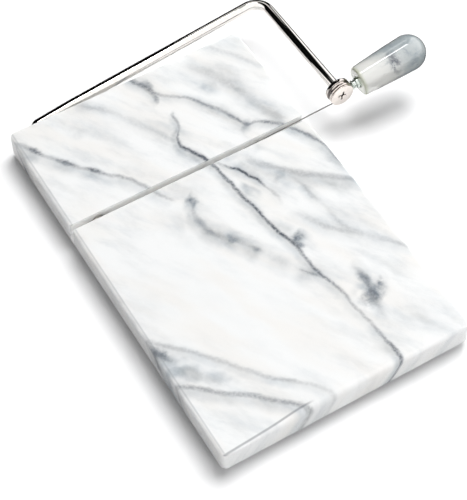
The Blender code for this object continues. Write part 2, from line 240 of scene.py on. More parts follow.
def carve(target, *cutters):
    """Subtract cutters from a piece for good, then drop them."""
    for cutter in cutters:
        step = target.modifiers.new(cutter.name, "BOOLEAN")
        step.operation = "DIFFERENCE"
        step.object = cutter
    bpy.context.view_layer.update()
    depsgraph = bpy.context.evaluated_depsgraph_get()
    carved = bpy.data.meshes.new_from_object(target.evaluated_get(depsgraph))
    target.modifiers.clear()
    target.data = carved
    for cutter in cutters:
        bpy.data.objects.remove(cutter)


def stands_for(made, body, node):
    """Tie a finished piece to its body and the CAD node it replaces."""
    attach(made, body)
    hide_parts(node)


def rounded_route(corners, radii, degrees_per_step):
    """Replace each inner corner of a flat route with an arc of the given radius."""
    points = [Vector(corners[0])]
    for before, corner, after, radius in zip(corners, corners[1:], corners[2:], radii):
        corner = Vector(corner)
        back = (Vector(before) - corner).normalized()
        onward = (Vector(after) - corner).normalized()
        half = back.angle(onward) / 2.0
        turn = math.pi - 2.0 * half
        centre = corner + (back + onward).normalized() * radius / math.sin(half)
        spoke = corner + back * radius / math.tan(half) - centre
        side = math.copysign(1.0, -back.x * onward.y + back.y * onward.x)
        steps = max(4, round(math.degrees(turn) / degrees_per_step))
        for step in range(steps + 1):
            turned = Matrix.Rotation(side * turn * step / steps, 2)
            points.append(centre + turned @ spoke)
    points.append(Vector(corners[-1]))
    return points


def swept(route, radius, sides, end_round):
    """A round bar along a flat route of 3-D points, with lightly rounded ends."""
    plane = (route[1] - route[0]).cross(route[-1] - route[1]).normalized()
    stations = []
    for index, point in enumerate(route):
        ahead = route[min(index + 1, len(route) - 1)]
        behind = route[max(index - 1, 0)]
        stations.append((point, (ahead - behind).normalized(), radius))
    rings = []
    for point, heading, size in rounded_ends(stations, radius, end_round):
        across = plane.cross(heading)
        rings.append([point + size * (c * across + s * plane) for c, s in circle(sides)])
    return skin(rings)


def rounded_ends(stations, radius, end_round):
    """Swap the first and last station of a bar for a quarter-round edge."""
    first, last = stations[0], stations[-1]
    quarter = arc((end_round, radius - end_round), end_round, 180.0, 90.0, 4)
    start = [(first[0] + first[1] * along, first[1], size) for along, size in quarter]
    finish = [(last[0] - last[1] * along, last[1], size) for along, size in reversed(quarter)]
    return start + stations[1:-1] + finish


# ==== board
def waver(place, share, seed, scale):
    """A factor near 1 that wanders smoothly and repeatably along a hand-ground edge."""
    return 1.0 + share * noise.noise(Vector((place / scale, seed, 0.5 * seed)))


def blend_between(x, stops):
    """Smooth value at x from (x, value) stops in rising order."""
    if x <= stops[0][0]:
        return stops[0][1]
    for (x0, v0), (x1, v1) in zip(stops, stops[1:]):
        if x <= x1:
            share = (x - x0) / (x1 - x0)
            share = share * share * (3.0 - 2.0 * share)
            return v0 + (v1 - v0) * share
    return stops[-1][1]


def front_round(x):
    """Radius of the top front edge, which was ground by hand and is widest mid-way."""
    return blend_between(x, FRONT_ROUNDING) * waver(x, share=0.12, seed=3.0, scale=9.0 * MM)


def back_round(x):
    """Radius of the top back edge."""
    return BACK_ROUNDING * waver(x, share=0.3, seed=7.0, scale=14.0 * MM)


def side_round(y, side):
    """Radius of the top edge along the left (side -1) or right (side 1) face."""
    return SIDE_ROUNDING * waver(y, share=0.35, seed=11.0 + side, scale=16.0 * MM)


def slip(radius, depth):
    """How far a surface has curved away where it is this deep inside a rounded edge."""
    if depth >= radius:
        return 0.0
    return radius - math.sqrt(radius * radius - (radius - depth) ** 2)


def slab_section(x, depth):
    """The slab's outline (y, z) across X, at a depth inside the nearer end face."""
    side = math.copysign(1.0, x)
    ends = HALF_LENGTH - slip(PLAN_CORNER, depth)
    low = slip(BOTTOM_ROUND, depth)
    floor = GROOVE_FLOOR - slip(GROOVE_MOUTH, depth)
    half_groove = GROOVE_WIDTH / 2 + slip(GROOVE_MOUTH, depth)
    lip_front, lip_back = GROOVE_Y - half_groove, GROOVE_Y + half_groove

    def top(y):
        return THICK - slip(side_round(y, side), depth)

    def run(start, stop, height):
        count = max(1, round(abs(stop - start) / SECTION_PITCH))
        places = [start + (stop - start) * step / count for step in range(1, count)]
        return [(y, height(y)) for y in places]

    front, back, lip, cove = front_round(x), back_round(x), GROOVE_LIP, GROOVE_COVE
    points = arc((-ends + BOTTOM_ROUND, low + BOTTOM_ROUND), BOTTOM_ROUND, 180.0, 270.0, 5)
    points += run(-ends + BOTTOM_ROUND, ends - BOTTOM_ROUND, lambda y: low)
    points += arc((ends - BOTTOM_ROUND, low + BOTTOM_ROUND), BOTTOM_ROUND, 270.0, 360.0, 5)
    points += arc((ends - back, top(ends - back) - back), back, 0.0, 90.0, 6)
    points += run(ends - back, lip_back + lip, top)
    points += arc((lip_back + lip, top(lip_back) - lip), lip, 90.0, 180.0, 4)
    points += arc((lip_back - cove, floor + cove), cove, 0.0, -90.0, 4)
    points += arc((lip_front + cove, floor + cove), cove, -90.0, -180.0, 4)
    points += arc((lip_front - lip, top(lip_front) - lip), lip, 0.0, 90.0, 4)
    points += run(lip_front - lip, -ends + front, top)
    points += arc((-ends + front, top(-ends + front) - front), front, 90.0, 180.0, 8)
    return points


def slab_stations():
    """Places across X for the slab's sections, each with its depth inside the nearer end."""
    depths = {0.0}
    for radius, first, pitch in ((side_round(0.0, 1.0), 15, 15), (PLAN_CORNER, 28, 10)):
        for angle in list(range(first, 90, pitch)) + [90]:
            depths.add(round(radius * (1.0 - math.cos(math.radians(angle))), 6))
    ends = sorted(depths)
    span = 2.0 * (HALF_WIDTH - ends[-1])
    stations = [(-HALF_WIDTH + depth, depth) for depth in ends]
    for step in range(1, SECTIONS):
        stations.append((-HALF_WIDTH + ends[-1] + span * step / SECTIONS, ends[-1]))
    return stations + [(HALF_WIDTH - depth, depth) for depth in reversed(ends)]


def make_slab(finish):
    """The marble slab: rounded all over, with the wire's groove and the hinge bore."""
    rings = [[(x, y, z) for y, z in slab_section(x, depth)] for x, depth in slab_stations()]
    slab = piece("marble_slab", skin(rings), BOARD, finish)
    start = PIVOT_FRONT - 0.5 * MM
    beyond = HALF_LENGTH + 5.0 * MM
    mouth = BORE_RADIUS + BORE_FLARE
    profile = [(start, BORE_RADIUS), (HALF_LENGTH - BORE_FLARE, BORE_RADIUS), (HALF_LENGTH, mouth),
               (beyond, mouth)]
    axis = BOARD @ Matrix.Translation((PIVOT_X, 0.0, PIVOT_Z)) @ Matrix.Rotation(math.pi / 2, 4, "Z")
    carve(slab, piece("bore", skin(spin(profile, 64)), axis))
    weighted = slab.modifiers.new("even_normals", "WEIGHTED_NORMAL")
    weighted.keep_sharp = True
    stands_for(slab, "board", "marble_board")


def make_sleeve(name, node, finish):
    """A plain bearing sleeve between the rod and the stone."""
    low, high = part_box(node)
    inner = ROD_RADIUS + SLEEVE_PLAY
    outer = BORE_RADIUS - GAP
    length = high.y - low.y
    edge = SLEEVE_EDGE
    profile = [(edge, inner), (0.0, inner + edge)]
    profile += arc((edge, outer - edge), edge, 180.0, 90.0, 3)
    profile += arc((length - edge, outer - edge), edge, 90.0, 0.0, 3)
    profile += [(length, inner + edge), (length - edge, inner)]
    axis = Matrix.Translation((HINGE.x, low.y, HINGE.z)) @ Matrix.Rotation(math.pi / 2, 4, "Z")
    sleeve = piece(name, skin(spin(profile, 56), closed=True), axis, finish)
    stands_for(sleeve, "board", node)


def make_feet(finish):
    """Soft domed feet with a moulded rim and a slightly hollow sole."""
    for corner in ("front_left", "front_right", "rear_left", "rear_right"):
        node = "foot_" + corner
        low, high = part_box(node)
        radius = (high.x - low.x) / 2
        height = high.z - low.z
        sole = radius - FOOT_SOLE_INSET
        profile = [(height, 0.0), (height, radius - 0.15 * MM)]
        profile += arc((height - FOOT_TOP_EDGE, radius - FOOT_TOP_EDGE), FOOT_TOP_EDGE, 30.0, 0.0, 3)
        profile += arc((MM, radius - FOOT_SWELL), FOOT_SWELL, 0.0, -60.0, 6)
        profile += [(0.0, sole), (0.0, sole - 0.5 * MM), (FOOT_HOLLOW, sole - 1.2 * MM), (FOOT_HOLLOW, 0.0)]
        rings = [[(y, z, up) for up, y, z in ring] for ring in spin(profile, FOOT_SIDES)]
        place = Matrix.Translation(((low.x + high.x) / 2, (low.y + high.y) / 2, low.z))
        foot = piece("pad_" + corner, skin(rings), place, finish)
        stands_for(foot, "board", node)


# ==== arm
def arm_corners():
    """Corners of the arm's route in its own plane, from hinge to hub."""
    outer = (ARM_REACH, CRANK_Y + (ARM_REACH - CRANK_S) * math.tan(LEG_SPLAY))
    end_y = GROOVE_Y + ROD_SOCKET_FRONT + GAP
    end = (outer[0] + (outer[1] - end_y) * math.tan(HUB_SPLAY), end_y)
    return [(0.0, PIVOT_FRONT), (0.0, HINGE_BEND_Y), (CRANK_S, CRANK_Y), outer, end]


def hub_distance():
    """Distance from the hinge axis to the hub, in the groove plane."""
    end = arm_corners()[-1]
    return end[0] + (end[1] - GROOVE_Y) * math.tan(HUB_SPLAY)


def wire_dip():
    """Angle by which the wire runs below the line from the hinge to the hub."""
    return math.asin(WIRE_WRAP_RADIUS / hub_distance())


HUB_AXIS = (ARM @ Matrix.Translation((hub_distance(), GROOVE_Y, 0.0))
            @ Matrix.Rotation(math.pi / 2 + HUB_SPLAY, 4, "Z"))
HANDLE_AXIS = (ARM @ Matrix.Translation((hub_distance(), HANDLE_Y, 0.0))
               @ Matrix.Rotation(-HANDLE_RISE, 4, "Y"))
WIRE_LINE = ARM @ Matrix.Translation((0.0, GROOVE_Y, 0.0)) @ Matrix.Rotation(wire_dip(), 4, "Y")


def make_rod(finish):
    """The bent rod, with a stepped cross hole for the wire and a hole for the screw in its end."""
    corners = rounded_route(arm_corners(), BEND_RADII, degrees_per_step=2.5)
    route = [Vector((s, y, 0.0)) for s, y in corners]
    rod = piece("rod", swept(route, ROD_RADIUS, sides=64, end_round=0.3 * MM), ARM, finish)
    seat = BARREL_START + BARREL_LENGTH + GAP
    reach = ROD_RADIUS + MM
    narrow = WIRE_RADIUS + 0.2 * MM
    wide = BARREL_RADIUS + GAP
    hole = [(-reach, wide), (seat, wide), (seat, narrow), (reach, narrow)]
    bore = SCREW_SHANK_RADIUS + GAP
    tapped = [(ROD_SOCKET_FRONT - MM, bore), (SCREW_END + 0.5 * MM, bore)]
    carve(rod, piece("wire_hole", skin(spin(hole, 24)), WIRE_LINE),
          piece("screw_hole", skin(spin(tapped, 24)), HUB_AXIS))
    stands_for(rod, "arm", "arm_rod")


def make_wire(finish):
    """The cutting wire: out of the rod, tangent to the hub and round its track."""
    dip = wire_dip()
    along = Vector((math.cos(dip), 0.0, -math.sin(dip)))
    hinge = Vector((0.0, GROOVE_Y, 0.0))
    hub = Vector((hub_distance(), GROOVE_Y, 0.0))
    wrap_start = -math.pi / 2 - dip
    wrap_end = HANDLE_RISE - math.asin(STUD_SHOULDER_RADIUS / WIRE_WRAP_RADIUS)
    straight = 12
    length = hub_distance() * math.cos(dip)
    route = [hinge + along * (WIRE_TAIL + (length - WIRE_TAIL) * step / straight)
             for step in range(straight)]
    steps = 32
    for step in range(steps + 1):
        angle = wrap_start + (wrap_end - wrap_start) * step / steps
        route.append(hub + WIRE_WRAP_RADIUS * Vector((math.cos(angle), 0.0, math.sin(angle))))
    wire = piece("wire", swept(route, WIRE_RADIUS, sides=16, end_round=0.08 * MM), ARM, finish)
    stands_for(wire, "arm", "cutting_wire")


def make_barrel(finish):
    """The barrel crimped on the wire's hinge end, with its squeezed waist."""
    end = BARREL_START + BARREL_LENGTH
    middle = (BARREL_START + end) / 2
    inner = WIRE_RADIUS + 0.15 * MM
    edge = 0.2 * MM
    shoulder, waist = BARREL_RADIUS - 0.02 * MM, BARREL_RADIUS - 0.12 * MM
    profile = [(BARREL_START, inner)]
    profile += arc((BARREL_START + edge, BARREL_RADIUS - edge), edge, 180.0, 90.0, 3)
    profile += [(middle - 0.2 * MM, shoulder), (middle, waist), (middle + 0.2 * MM, shoulder)]
    profile += arc((end - edge, BARREL_RADIUS - edge), edge, 90.0, 0.0, 3)
    profile += [(end, inner)]
    barrel = piece("crimp_barrel", skin(spin(profile, 32), closed=True), WIRE_LINE, finish)
    stands_for(barrel, "arm", "wire_barrel")


def make_hub(finish):
    """The turned cap on the rod's end, with the wire's rounded track in its rim."""
    edge = 0.5 * MM
    lip = 0.25 * MM
    lip_at = 0.95 * MM
    cone = SCREW_CONE_RADIUS + GAP
    cone_end = SCREW_FACE + SCREW_FLANGE + SCREW_CONE_LENGTH + GAP
    shank = SCREW_SHANK_RADIUS + GAP
    socket = ROD_RADIUS + GAP
    profile = [(HUB_FRONT, cone)]
    profile += arc((HUB_FRONT + edge, HUB_RADIUS - edge), edge, 180.0, 90.0, 6)
    profile += arc((-lip_at, HUB_RADIUS - lip), lip, 90.0, 40.0, 3)
    profile += arc((0.0, HUB_RADIUS - 0.05 * MM), TRACK_RADIUS, 195.0, 345.0, 10)
    profile += arc((lip_at, HUB_RADIUS - lip), lip, 140.0, 90.0, 3)
    profile += arc((HUB_BACK - edge, HUB_RADIUS - edge), edge, 90.0, 0.0, 6)
    profile += [(HUB_BACK, socket), (ROD_SOCKET_FRONT, socket), (ROD_SOCKET_FRONT, shank), (cone_end, shank)]
    hub = piece("hub_cap", skin(spin(profile, 96), closed=True), HUB_AXIS, finish)
    bore = STUD_THREAD_RADIUS + 0.15 * MM
    hole = [(STUD_TIP - 0.4 * MM, bore), (HUB_RADIUS + MM, bore)]
    carve(hub, piece("stud_hole", skin(spin(hole, 32)), HANDLE_AXIS))
    stands_for(hub, "arm", "hub")


def make_screw(finish):
    """The wide-headed clamp screw: a slightly crowned head with a cross recess."""
    rim = SCREW_FACE + SCREW_FLANGE
    edge = 0.35 * MM
    back_edge = 0.15 * MM
    crown = 0.12 * MM
    profile = [(SCREW_FACE, 0.0)]
    for share in (0.25, 0.5, 0.7, 0.85):
        profile.append((SCREW_FACE + crown * share * share, (SCREW_HEAD_RADIUS - edge) * share))
    profile += arc((SCREW_FACE + crown + edge, SCREW_HEAD_RADIUS - edge), edge, 180.0, 90.0, 6)
    profile += arc((rim - back_edge, SCREW_HEAD_RADIUS - back_edge), back_edge, 90.0, 0.0, 3)
    profile += [(rim, SCREW_CONE_RADIUS), (rim + SCREW_CONE_LENGTH, SCREW_SHANK_RADIUS),
                (SCREW_END - 0.3 * MM, SCREW_SHANK_RADIUS), (SCREW_END, SCREW_SHANK_RADIUS - 0.3 * MM),
                (SCREW_END, 0.0)]
    screw = piece("clamp_screw", skin(spin(profile, 96)), HUB_AXIS, finish)
    carve(screw, make_recess())
    stands_for(screw, "arm", "hub_screw")


def make_recess():
    """The cross recess: four tapered wings that meet in a pointed middle."""
    levels = [(SCREW_FACE - 0.5 * MM, 2.75 * MM, 0.62 * MM), (SCREW_FACE + 0.9 * MM, 1.75 * MM, 0.5 * MM),
              (SCREW_FACE + 1.7 * MM, 0.8 * MM, 0.35 * MM), (SCREW_FACE + 2.1 * MM, 0.3 * MM, 0.2 * MM)]
    rings = []
    for along, reach, half_width in levels:
        blend = 0.3 * half_width
        quarter = [(reach, -half_width), (reach, half_width), (half_width + blend, half_width),
                   (half_width, half_width + blend)]
        ring = []
        for turn in range(4):
            turned = Matrix.Rotation(math.pi / 2 * turn + RECESS_TURN, 2)
            ring += [(along, *(turned @ Vector(corner))) for corner in quarter]
        rings.append(ring)
    return piece("recess", skin(rings), HUB_AXIS)


def make_stud(finish):
    """The double-ended stud: coarse thread at both ends, shoulder and plain neck between."""
    shoulder_end = STUD_SHOULDER + STUD_SHOULDER_LENGTH
    neck_end = INSERT_START + 1.5 * MM
    edge = 0.12 * MM
    profile = [(STUD_TIP, 0.0), (STUD_TIP, STUD_THREAD_RADIUS - 0.3 * MM)]
    profile += thread(STUD_TIP + 0.3 * MM, STUD_SHOULDER - 0.1 * MM)
    undercut = STUD_THREAD_RADIUS - 0.2 * MM
    profile += [(STUD_SHOULDER, undercut)]
    profile += arc((STUD_SHOULDER + edge, STUD_SHOULDER_RADIUS - edge), edge, 180.0, 90.0, 3)
    profile += arc((shoulder_end - edge, STUD_SHOULDER_RADIUS - edge), edge, 90.0, 0.0, 3)
    profile += [(shoulder_end, STUD_NECK_RADIUS), (neck_end - 0.2 * MM, STUD_NECK_RADIUS),
                (neck_end, undercut)]
    profile += thread(neck_end + 0.1 * MM, STUD_END - 0.3 * MM)
    profile += [(STUD_END, STUD_THREAD_RADIUS - 0.3 * MM), (STUD_END, 0.0)]
    stud = piece("stud", skin(spin(profile, 40)), HANDLE_AXIS, finish)
    stands_for(stud, "arm", "handle_stud")


def thread(start, stop):
    """The profile of a threaded stretch, as ridges and valleys."""
    valley = STUD_THREAD_RADIUS - THREAD_DEPTH
    ridges = max(1, int((stop - start) / THREAD_PITCH))
    pitch = (stop - start) / ridges
    points = []
    for ridge in range(ridges):
        base = start + ridge * pitch
        points += [(base, valley), (base + 0.4 * pitch, STUD_THREAD_RADIUS),
                   (base + 0.55 * pitch, STUD_THREAD_RADIUS)]
    points.append((stop, valley))
    return points


def make_insert(finish):
    """The threaded sleeve glued into the grip; its collar stands proud of the stone."""
    chamfer = 0.35 * MM
    mouth = INSERT_START + 1.5 * MM + GAP
    tapped = STUD_THREAD_RADIUS + 0.2 * MM
    profile = [(mouth, tapped), (mouth, INSERT_BORE), (INSERT_START + 0.1 * MM, INSERT_BORE),
               (INSERT_START, INSERT_BORE + 0.1 * MM), (INSERT_START, INSERT_RADIUS - chamfer)]
    profile += arc((INSERT_START + chamfer, INSERT_RADIUS - chamfer), chamfer, 180.0, 90.0, 4)[1:]
    glue_groove = INSERT_RADIUS - 0.25 * MM
    at = INSERT_START + 3.0 * MM
    while at < INSERT_END - 2.0 * MM:
        profile += [(at, INSERT_RADIUS), (at + 0.3 * MM, glue_groove), (at + 0.7 * MM, glue_groove),
                    (at + MM, INSERT_RADIUS)]
        at += 2.0 * MM
    profile += [(INSERT_END, INSERT_RADIUS - 0.2 * MM), (INSERT_END, tapped)]
    insert = piece("insert_sleeve", skin(spin(profile, 48), closed=True), HANDLE_AXIS, finish)
    stands_for(insert, "arm", "handle_insert")


def make_grip(finish):
    """The tapered marble grip: turned and polished, with a slight swell and a domed end."""
    bore = INSERT_RADIUS + GAP
    dome_start = HANDLE_END - HANDLE_DOME
    edge_centre = (HANDLE_START + HANDLE_EDGE, HANDLE_NEAR_RADIUS - HANDLE_EDGE)
    profile = [(HANDLE_BORE_END, 0.0), (HANDLE_BORE_END, bore), (HANDLE_START + 0.25 * MM, bore),
               (HANDLE_START, bore + 0.25 * MM)]
    profile += arc(edge_centre, HANDLE_EDGE, 180.0, 95.0, 8)
    body_start = profile[-1]
    steps = 14
    for step in range(1, steps):
        share = step / steps
        swell = HANDLE_SWELL * math.sin(math.pi * share)
        profile.append((body_start[0] + (dome_start - body_start[0]) * share,
                        body_start[1] + (HANDLE_FAR_RADIUS - body_start[1]) * share + swell))
    for x, r in arc((0.0, 0.0), 1.0, 90.0, 0.0, 24)[:-1]:
        profile.append((dome_start + HANDLE_DOME * x, HANDLE_FAR_RADIUS * r))
    profile.append((HANDLE_END, 0.0))
    grip = piece("grip", skin(spin(profile, 96)), HANDLE_AXIS, finish)
    stands_for(grip, "arm", "handle")


# ==== node helpers
def screen(red, green, blue):
    """A colour given as on screen (0 to 255), as the linear values that nodes use."""
    values = []
    for level in (red, green, blue):
        share = level / 255.0
        values.append(share / 12.92 if share <= 0.04045 else ((share + 0.055) / 1.055) ** 2.4)
    return (*values, 1.0)


LIGHT_LEVEL = 1.27                  # how bright the studio's light makes a white sheet on the table


def lit(red, green, blue):
    """The surface colour that shows as this screen colour under the studio's light."""
    return (*[value / LIGHT_LEVEL for value in screen(red, green, blue)[:3]], 1.0)


class Graph:
    """Short calls for building one material's node tree."""

    def __init__(self, name):
        self.material = bpy.data.materials.new(name)
        self.material.use_nodes = True
        self.tree = self.material.node_tree
        self.shader = self.tree.nodes["Principled BSDF"]

    def node(self, kind, *values, **settings):
        """A new node with its settings, and its first inputs linked or set in order."""
        made = self.tree.nodes.new(kind)
        for key, value in settings.items():
            setattr(made, key, value)
        for socket, value in zip(made.inputs, values):
            self.feed(socket, value)
        return made

    def feed(self, socket, value):
        """Link an output to a socket, or set the socket's own value."""
        if isinstance(value, bpy.types.NodeSocket):
            self.tree.links.new(value, socket)
        else:
            socket.default_value = value

    def put(self, node, **values):
        """Link or set a node's sockets by name; underscores stand for spaces."""
        for key, value in values.items():
            self.feed(node.inputs[key.replace("_", " ")], value)

    def set(self, **values):
        """Link or set the shader's sockets."""
        self.put(self.shader, **values)

    def math(self, operation, *values, clamp=False):
        return self.node("ShaderNodeMath", *values, operation=operation, use_clamp=clamp).outputs[0]

    def times(self, first, second, clamp=False):
        return self.math("MULTIPLY", first, second, clamp=clamp)

    def most(self, first, second):
        return self.math("MAXIMUM", first, second)

    def apart(self, first, second):
        """Distance between two values."""
        return self.math("ABSOLUTE", self.math("SUBTRACT", first, second))

    def vector(self, operation, *values):
        made = self.node("ShaderNodeVectorMath", *values, operation=operation)
        return made.outputs["Value" if operation in ("LENGTH", "DOT_PRODUCT") else "Vector"]

    def remap(self, value, low, high, to_low=0.0, to_high=1.0):
        """Carry a value smoothly from one range to another and hold it at the ends."""
        return self.node("ShaderNodeMapRange", value, low, high, to_low, to_high,
                         interpolation_type="SMOOTHSTEP").outputs["Result"]

    def noise(self, place, scale, detail=2.0, roughness=0.5, output="Fac"):
        made = self.node("ShaderNodeTexNoise")
        self.put(made, Vector=place, Scale=scale, Detail=detail, Roughness=roughness)
        return made.outputs[output]

    def curve(self, value, points):
        """A smooth curve through (input, output) points given in rising order."""
        made = self.node("ShaderNodeFloatCurve")
        made.mapping.use_clip = False
        line = made.mapping.curves[0]
        points = sorted(points)
        line.points[0].location = points[0]
        line.points[1].location = points[-1]
        for point in points[1:-1]:
            line.points.new(*point)
        for handle in line.points:
            handle.handle_type = "AUTO_CLAMPED"
        made.mapping.update()
        self.put(made, Value=value)
        return made.outputs["Value"]

    def mix(self, share, first, second):
        """The first colour where the share is 0, and the second where it is 1."""
        made = self.node("ShaderNodeMix", share, data_type="RGBA")
        self.feed(made.inputs[6], first)
        self.feed(made.inputs[7], second)
        return made.outputs[2]

    def frame(self, vector, location, rotation, scale):
        """Coordinates in a moved, turned and scaled frame."""
        made = self.node("ShaderNodeMapping", vector_type="TEXTURE")
        self.put(made, Vector=vector, Location=location, Rotation=rotation, Scale=scale)
        return made.outputs["Vector"]

    def millimetres(self, place):
        """Coordinates in a piece's own local frame, in millimetres."""
        whole = self.node("ShaderNodeTexCoord").outputs["Object"]
        return self.frame(whole, place.translation, place.to_euler(), (MM, MM, MM))

    def split(self, vector):
        return tuple(self.node("ShaderNodeSeparateXYZ", vector).outputs)

    def join(self, x, y, z):
        return self.node("ShaderNodeCombineXYZ", x, y, z).outputs[0]

    def bump(self, height, strength, distance):
        made = self.node("ShaderNodeBump")
        self.put(made, Strength=strength, Distance=distance, Height=height)
        return made.outputs["Normal"]


# ==== marble
# A vein follows listed points (x, y, strength) on the board's top, in millimetres.
# core and halo are half-widths, dark and tint say how much each shows, and lean
# moves the halo to one side of the core.
Vein = namedtuple("Vein", "core dark halo tint lean points")

VEINS = [
    # upper left: a beaded vein with its halo on the lower side
    Vein(0.95, 0.72, 3.2, 0.46, -2.4, [
        (-66, 97, 0.3), (-61, 91.5, 0.45), (-57.3, 86, 1.0), (-53.5, 79.5, 0.35), (-48, 71.7, 0.95),
        (-43, 65, 0.32), (-38.5, 60.6, 1.0), (-33.5, 54.5, 0.45), (-29, 50.5, 0.6), (-25, 45, 0.55),
        (-22, 40, 0.5), (-18.5, 31.5, 0.45), (-16, 28, 0.35), (-14, 25, 0.0)]),
    # middle left: broken, with a broad shadow on its left
    Vein(1.3, 0.30, 4.4, 0.52, -1.6, [
        (-6, 27, 0.0), (-8.5, 22.5, 0.7), (-8.6, 19.5, 0.8), (-10.8, 15, 0.7), (-10.4, 8, 0.6),
        (-9.3, 1.5, 0.8), (-6, -3.8, 0.8), (-2.2, -6.8, 1.0), (0.8, -12, 0.6), (3.2, -17.6, 0.8),
        (5.5, -22, 0.15), (9.8, -30, 0.4), (13, -35, 0.1), (16.5, -40, 0.5), (20, -44, 0.0)]),
    # from the back edge across to the right edge
    Vein(0.9, 0.68, 3.0, 0.40, -0.8, [
        (1, 105, 0.6), (4, 99, 0.9), (8, 91, 0.9), (9, 87, 0.7), (12.5, 83, 0.5), (20, 77.3, 0.6),
        (26, 69.5, 0.8), (31.5, 61, 0.65), (34.5, 53.5, 0.9), (36.5, 48.5, 0.7), (42, 45.8, 0.6),
        (47, 43, 0.95), (52, 38.2, 0.8), (56, 31.5, 0.85), (59.5, 25.5, 0.8), (62.3, 17, 0.8), (63.5, 6, 0.7),
        (66, -4, 0.6)]),
    # its dark root at the back edge
    Vein(1.2, 0.62, 3.0, 0.40, 0.0, [
        (2, 104, 0.0), (5, 98, 0.9), (7.2, 92, 1.0), (8, 87, 0.8), (7.9, 83.5, 0.9), (7.5, 80, 0.0)]),
    # the long dark vein down the middle
    Vein(0.85, 0.90, 2.6, 0.42, -1.4, [
        (10.5, 73, 0.0), (9.8, 69, 0.5), (9, 63.5, 0.4), (5, 58.5, 0.6), (3.4, 53.5, 0.9), (5.2, 48, 0.9),
        (9, 41, 1.25), (11.4, 31.5, 0.8), (12.2, 22, 0.9), (12.8, 15, 0.75), (14.5, 6.5, 0.9),
        (15.4, 0, 0.95), (16.2, -6, 0.8), (17.5, -15, 1.0), (19.8, -25, 0.8), (20.2, -33, 0.6),
        (20.4, -42, 0.8),
        (23, -51.5, 0.6), (24.5, -64, 0.42), (25.8, -75, 0.4), (26.4, -83, 0.45), (27.3, -98, 0.85),
        (29, -112, 0.8)]),
    # the darkest short vein, right of it
    Vein(0.75, 1.1, 3.4, 0.50, 0.4, [
        (9, 42, 0.0), (12.5, 36.5, 0.2), (16, 31, 0.4), (20, 25.8, 1.0), (22, 21.5, 0.95), (24, 17.5, 0.95),
        (25.5, 11, 0.3), (27, 4, 0.2), (27, -3, 0.0)]),
    # the broad grey band to the right edge
    Vein(1.5, 0.34, 4.2, 0.42, -2.6, [
        (25, 33, 0.0), (29, 26, 0.5), (34, 19, 0.7), (40, 12.5, 0.9), (47, 6, 0.85), (54, 0, 0.85),
        (60, -5, 0.95), (67, -10, 0.9)]),
    # faint veins in the lower right
    Vein(1.2, 0.26, 4.0, 0.24, -1.0, [
        (26, -7, 0.0), (33, -15, 0.6), (37, -22, 0.9), (45, -31, 0.7), (50, -36, 0.6), (56, -43, 0.7),
        (62, -50, 0.9), (67, -55, 0.6)]),
    Vein(1.0, 0.26, 3.0, 0.30, 0.0, [
        (38, 12, 0.0), (40.5, 4, 0.7), (41.5, -4, 1.0), (42.5, -10, 0.35), (43.5, -20, 0.5), (45.5, -29, 0.8),
        (51, -38, 0.4), (56, -46, 0.0)]),
    Vein(1.4, 0.46, 3.4, 0.50, 0.0, [
        (36, -45, 0.0), (36.5, -51, 0.4), (36.8, -57, 0.9), (35.5, -63, 1.0), (34.5, -68, 0.8),
        (33.8, -75, 0.3), (33.4, -84, 0.0)]),
    # lower left: a thin vein, a broad one, and the dark start at the left edge
    Vein(0.95, 0.30, 2.6, 0.30, -1.4, [
        (-67, -30, 0.6), (-61, -37.5, 0.9), (-55, -43.5, 0.9), (-50, -48.8, 0.9), (-44, -56, 0.8),
        (-37, -65, 0.75), (-30, -74, 0.75), (-22, -82.3, 1.0), (-15, -89, 0.5), (-9, -97, 0.45),
        (-3, -105, 0.4)]),
    Vein(1.1, 0.50, 3.2, 0.34, -2.2, [
        (-67, -59, 0.8), (-61, -63.5, 0.9), (-53, -70.5, 0.9), (-46, -76.5, 0.8), (-38, -82.5, 0.85),
        (-30, -90, 0.9), (-22, -97.5, 0.9), (-16, -104, 0.8)]),
    Vein(1.3, 0.50, 2.8, 0.50, -0.5, [
        (-65.5, -31, 0.3), (-62.8, -40, 0.9), (-60.3, -46.5, 1.0), (-58, -50, 0.4), (-55.5, -53, 0.0)]),
    # soft veins across the upper part
    Vein(1.4, 0.22, 4.0, 0.20, 0.0, [
        (-29, 104, 0.4), (-24, 97.5, 1.0), (-18, 91.3, 0.9), (-12, 83, 0.6), (-7, 73.5, 0.7), (-2, 65, 0.7),
        (2, 57.5, 0.6), (4, 52, 0.0)]),
    Vein(2.0, 0.20, 5.0, 0.34, 0.0, [
        (29, 98, 0.0), (34, 91, 0.5), (40, 80, 0.8), (44.5, 70, 1.0), (46.8, 62, 0.7), (49.5, 53, 0.6),
        (51.5, 44, 0.7), (53, 37, 0.0)]),
    Vein(1.2, 0.18, 3.0, 0.14, 0.0, [
        (44, 105, 0.6), (50, 95, 0.9), (55, 87, 0.9), (60, 79, 0.8), (67, 70, 0.7)]),
    Vein(0.7, 0.45, 1.8, 0.30, 0.0, [
        (14, -36.5, 0.0), (16, -39.5, 0.8), (18.5, -43, 1.0), (20.5, -46, 0.4), (22, -49, 0.0)]),
]

